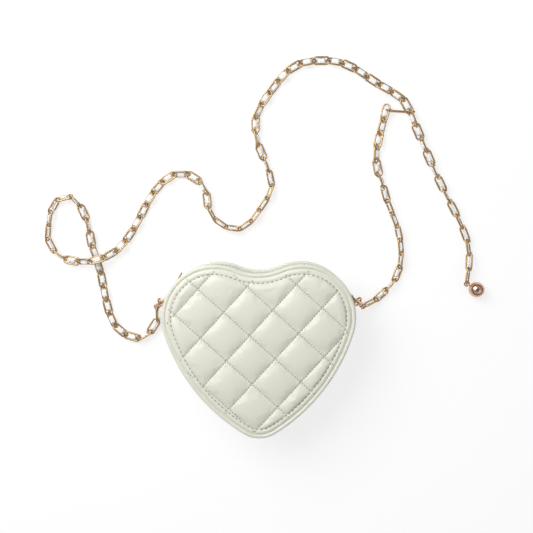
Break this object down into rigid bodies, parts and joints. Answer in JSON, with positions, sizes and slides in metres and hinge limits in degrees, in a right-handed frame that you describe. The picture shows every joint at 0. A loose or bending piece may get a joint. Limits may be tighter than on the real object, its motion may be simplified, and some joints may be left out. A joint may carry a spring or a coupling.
{
  "type": "quilted heart purse",
  "caption": "Heart shaped quilted purse with piping, a zip over the lobes, D rings at both sides and a woven chain belt with snap hooks, a closure hook and a ball charm, lying on its back.",
  "frame": {"origin": "under the middle of the bag on the back panel's underside, with the chain left out", "axes": "+Z from the back panel out through the quilted front, +Y from the tip of the heart to its lobes, +X to the right as seen from the front"},
  "size_m": [0.3138, 0.2607, 0.0451],
  "materials": {
    "leather": "smooth ivory leather, semi matt",
    "lining_cloth": "plain woven lining cloth",
    "zip_cloth": "woven zip tape",
    "zip_plastic": "moulded ivory zip teeth",
    "board": "stiff bag board",
    "wadding": "thin polyester wadding",
    "gold": "light gold plating, polished",
    "rose_gold": "rose gold plating, polished"
  },
  "bodies": {
    "bag": {"back_panel": "leather", "back_piping": "leather", "back_board": "board", "back_lining": "lining_cloth", "lower_gusset": "leather", "gusset_lining": "lining_cloth", "rear_gusset_strip": "leather", "rear_zip_tape": "zip_cloth", "rear_zip_teeth": "zip_plastic", "zip_end_stops": "gold", "left_ring_tab": "leather", "right_ring_tab": "leather", "left_snap_hook": "rose_gold", "right_snap_hook": "rose_gold", "left_chain_links": "gold", "right_chain_links": "gold", "left_woven_strip": "leather", "right_woven_strip": "leather", "closure_hook": "gold"},
    "front": {"front_panel": "leather", "front_piping": "leather", "front_wadding": "wadding", "front_board": "board", "front_lining": "lining_cloth", "front_gusset_strip": "leather", "front_zip_tape": "zip_cloth", "front_zip_teeth": "zip_plastic"},
    "slider": {"zip_slider": "gold"},
    "pull": {"zip_pull": "gold"},
    "left_ring_body": {"left_d_ring": "gold"},
    "right_ring_body": {"right_d_ring": "gold"},
    "left_gate_body": {"left_snap_gate": "rose_gold"},
    "right_gate_body": {"right_snap_gate": "rose_gold"},
    "charm": {"charm_eye": "rose_gold", "ball_charm": "rose_gold"}
  },
  "joints": [
    {"name": "front_open", "type": "hinge", "parent": "bag", "child": "front", "pos_m": [0, -0.0587, 0.0395], "axis": [1, 0, 0], "range_deg": [0, 12]},
    {"name": "slider_travel", "type": "hinge", "parent": "bag", "child": "slider", "pos_m": [-0.02925, 0.02295, 0.0215], "axis": [0, 0, -1], "range_deg": [0, 72]},
    {"name": "pull_swing", "type": "hinge", "parent": "slider", "child": "pull", "pos_m": [-0.05953, 0.04187, 0.0215], "axis": [0, 0, 1], "range_deg": [0, 100]},
    {"name": "left_ring_swing", "type": "hinge", "parent": "bag", "child": "left_ring_body", "pos_m": [-0.06323, 0.03498, 0.0215], "axis": [0, 0, 1], "range_deg": [-5, 5]},
    {"name": "right_ring_swing", "type": "hinge", "parent": "bag", "child": "right_ring_body", "pos_m": [0.06323, 0.03498, 0.0215], "axis": [0, 0, 1], "range_deg": [-5, 5]},
    {"name": "left_gate_open", "type": "hinge", "parent": "bag", "child": "left_gate_body", "pos_m": [-0.07064, 0.02988, 0.01299], "axis": [0.6275, 0.5265, -0.5736], "range_deg": [0, 18], "stiffness_Nm_per_rad": 0.0005},
    {"name": "right_gate_open", "type": "hinge", "parent": "bag", "child": "right_gate_body", "pos_m": [0.07064, 0.02988, 0.01299], "axis": [0.6275, -0.5265, 0.5736], "range_deg": [0, 18], "stiffness_Nm_per_rad": 0.0005},
    {"name": "charm_swing", "type": "hinge", "parent": "bag", "child": "charm", "pos_m": [0.1474, 0.0426, 0.00555], "axis": [0, 0, 1], "range_deg": [-25, 25]}
  ],
  "couplings": [
    {"joint": "slider_travel", "follows": "front_open", "ratio": 6}
  ]
}
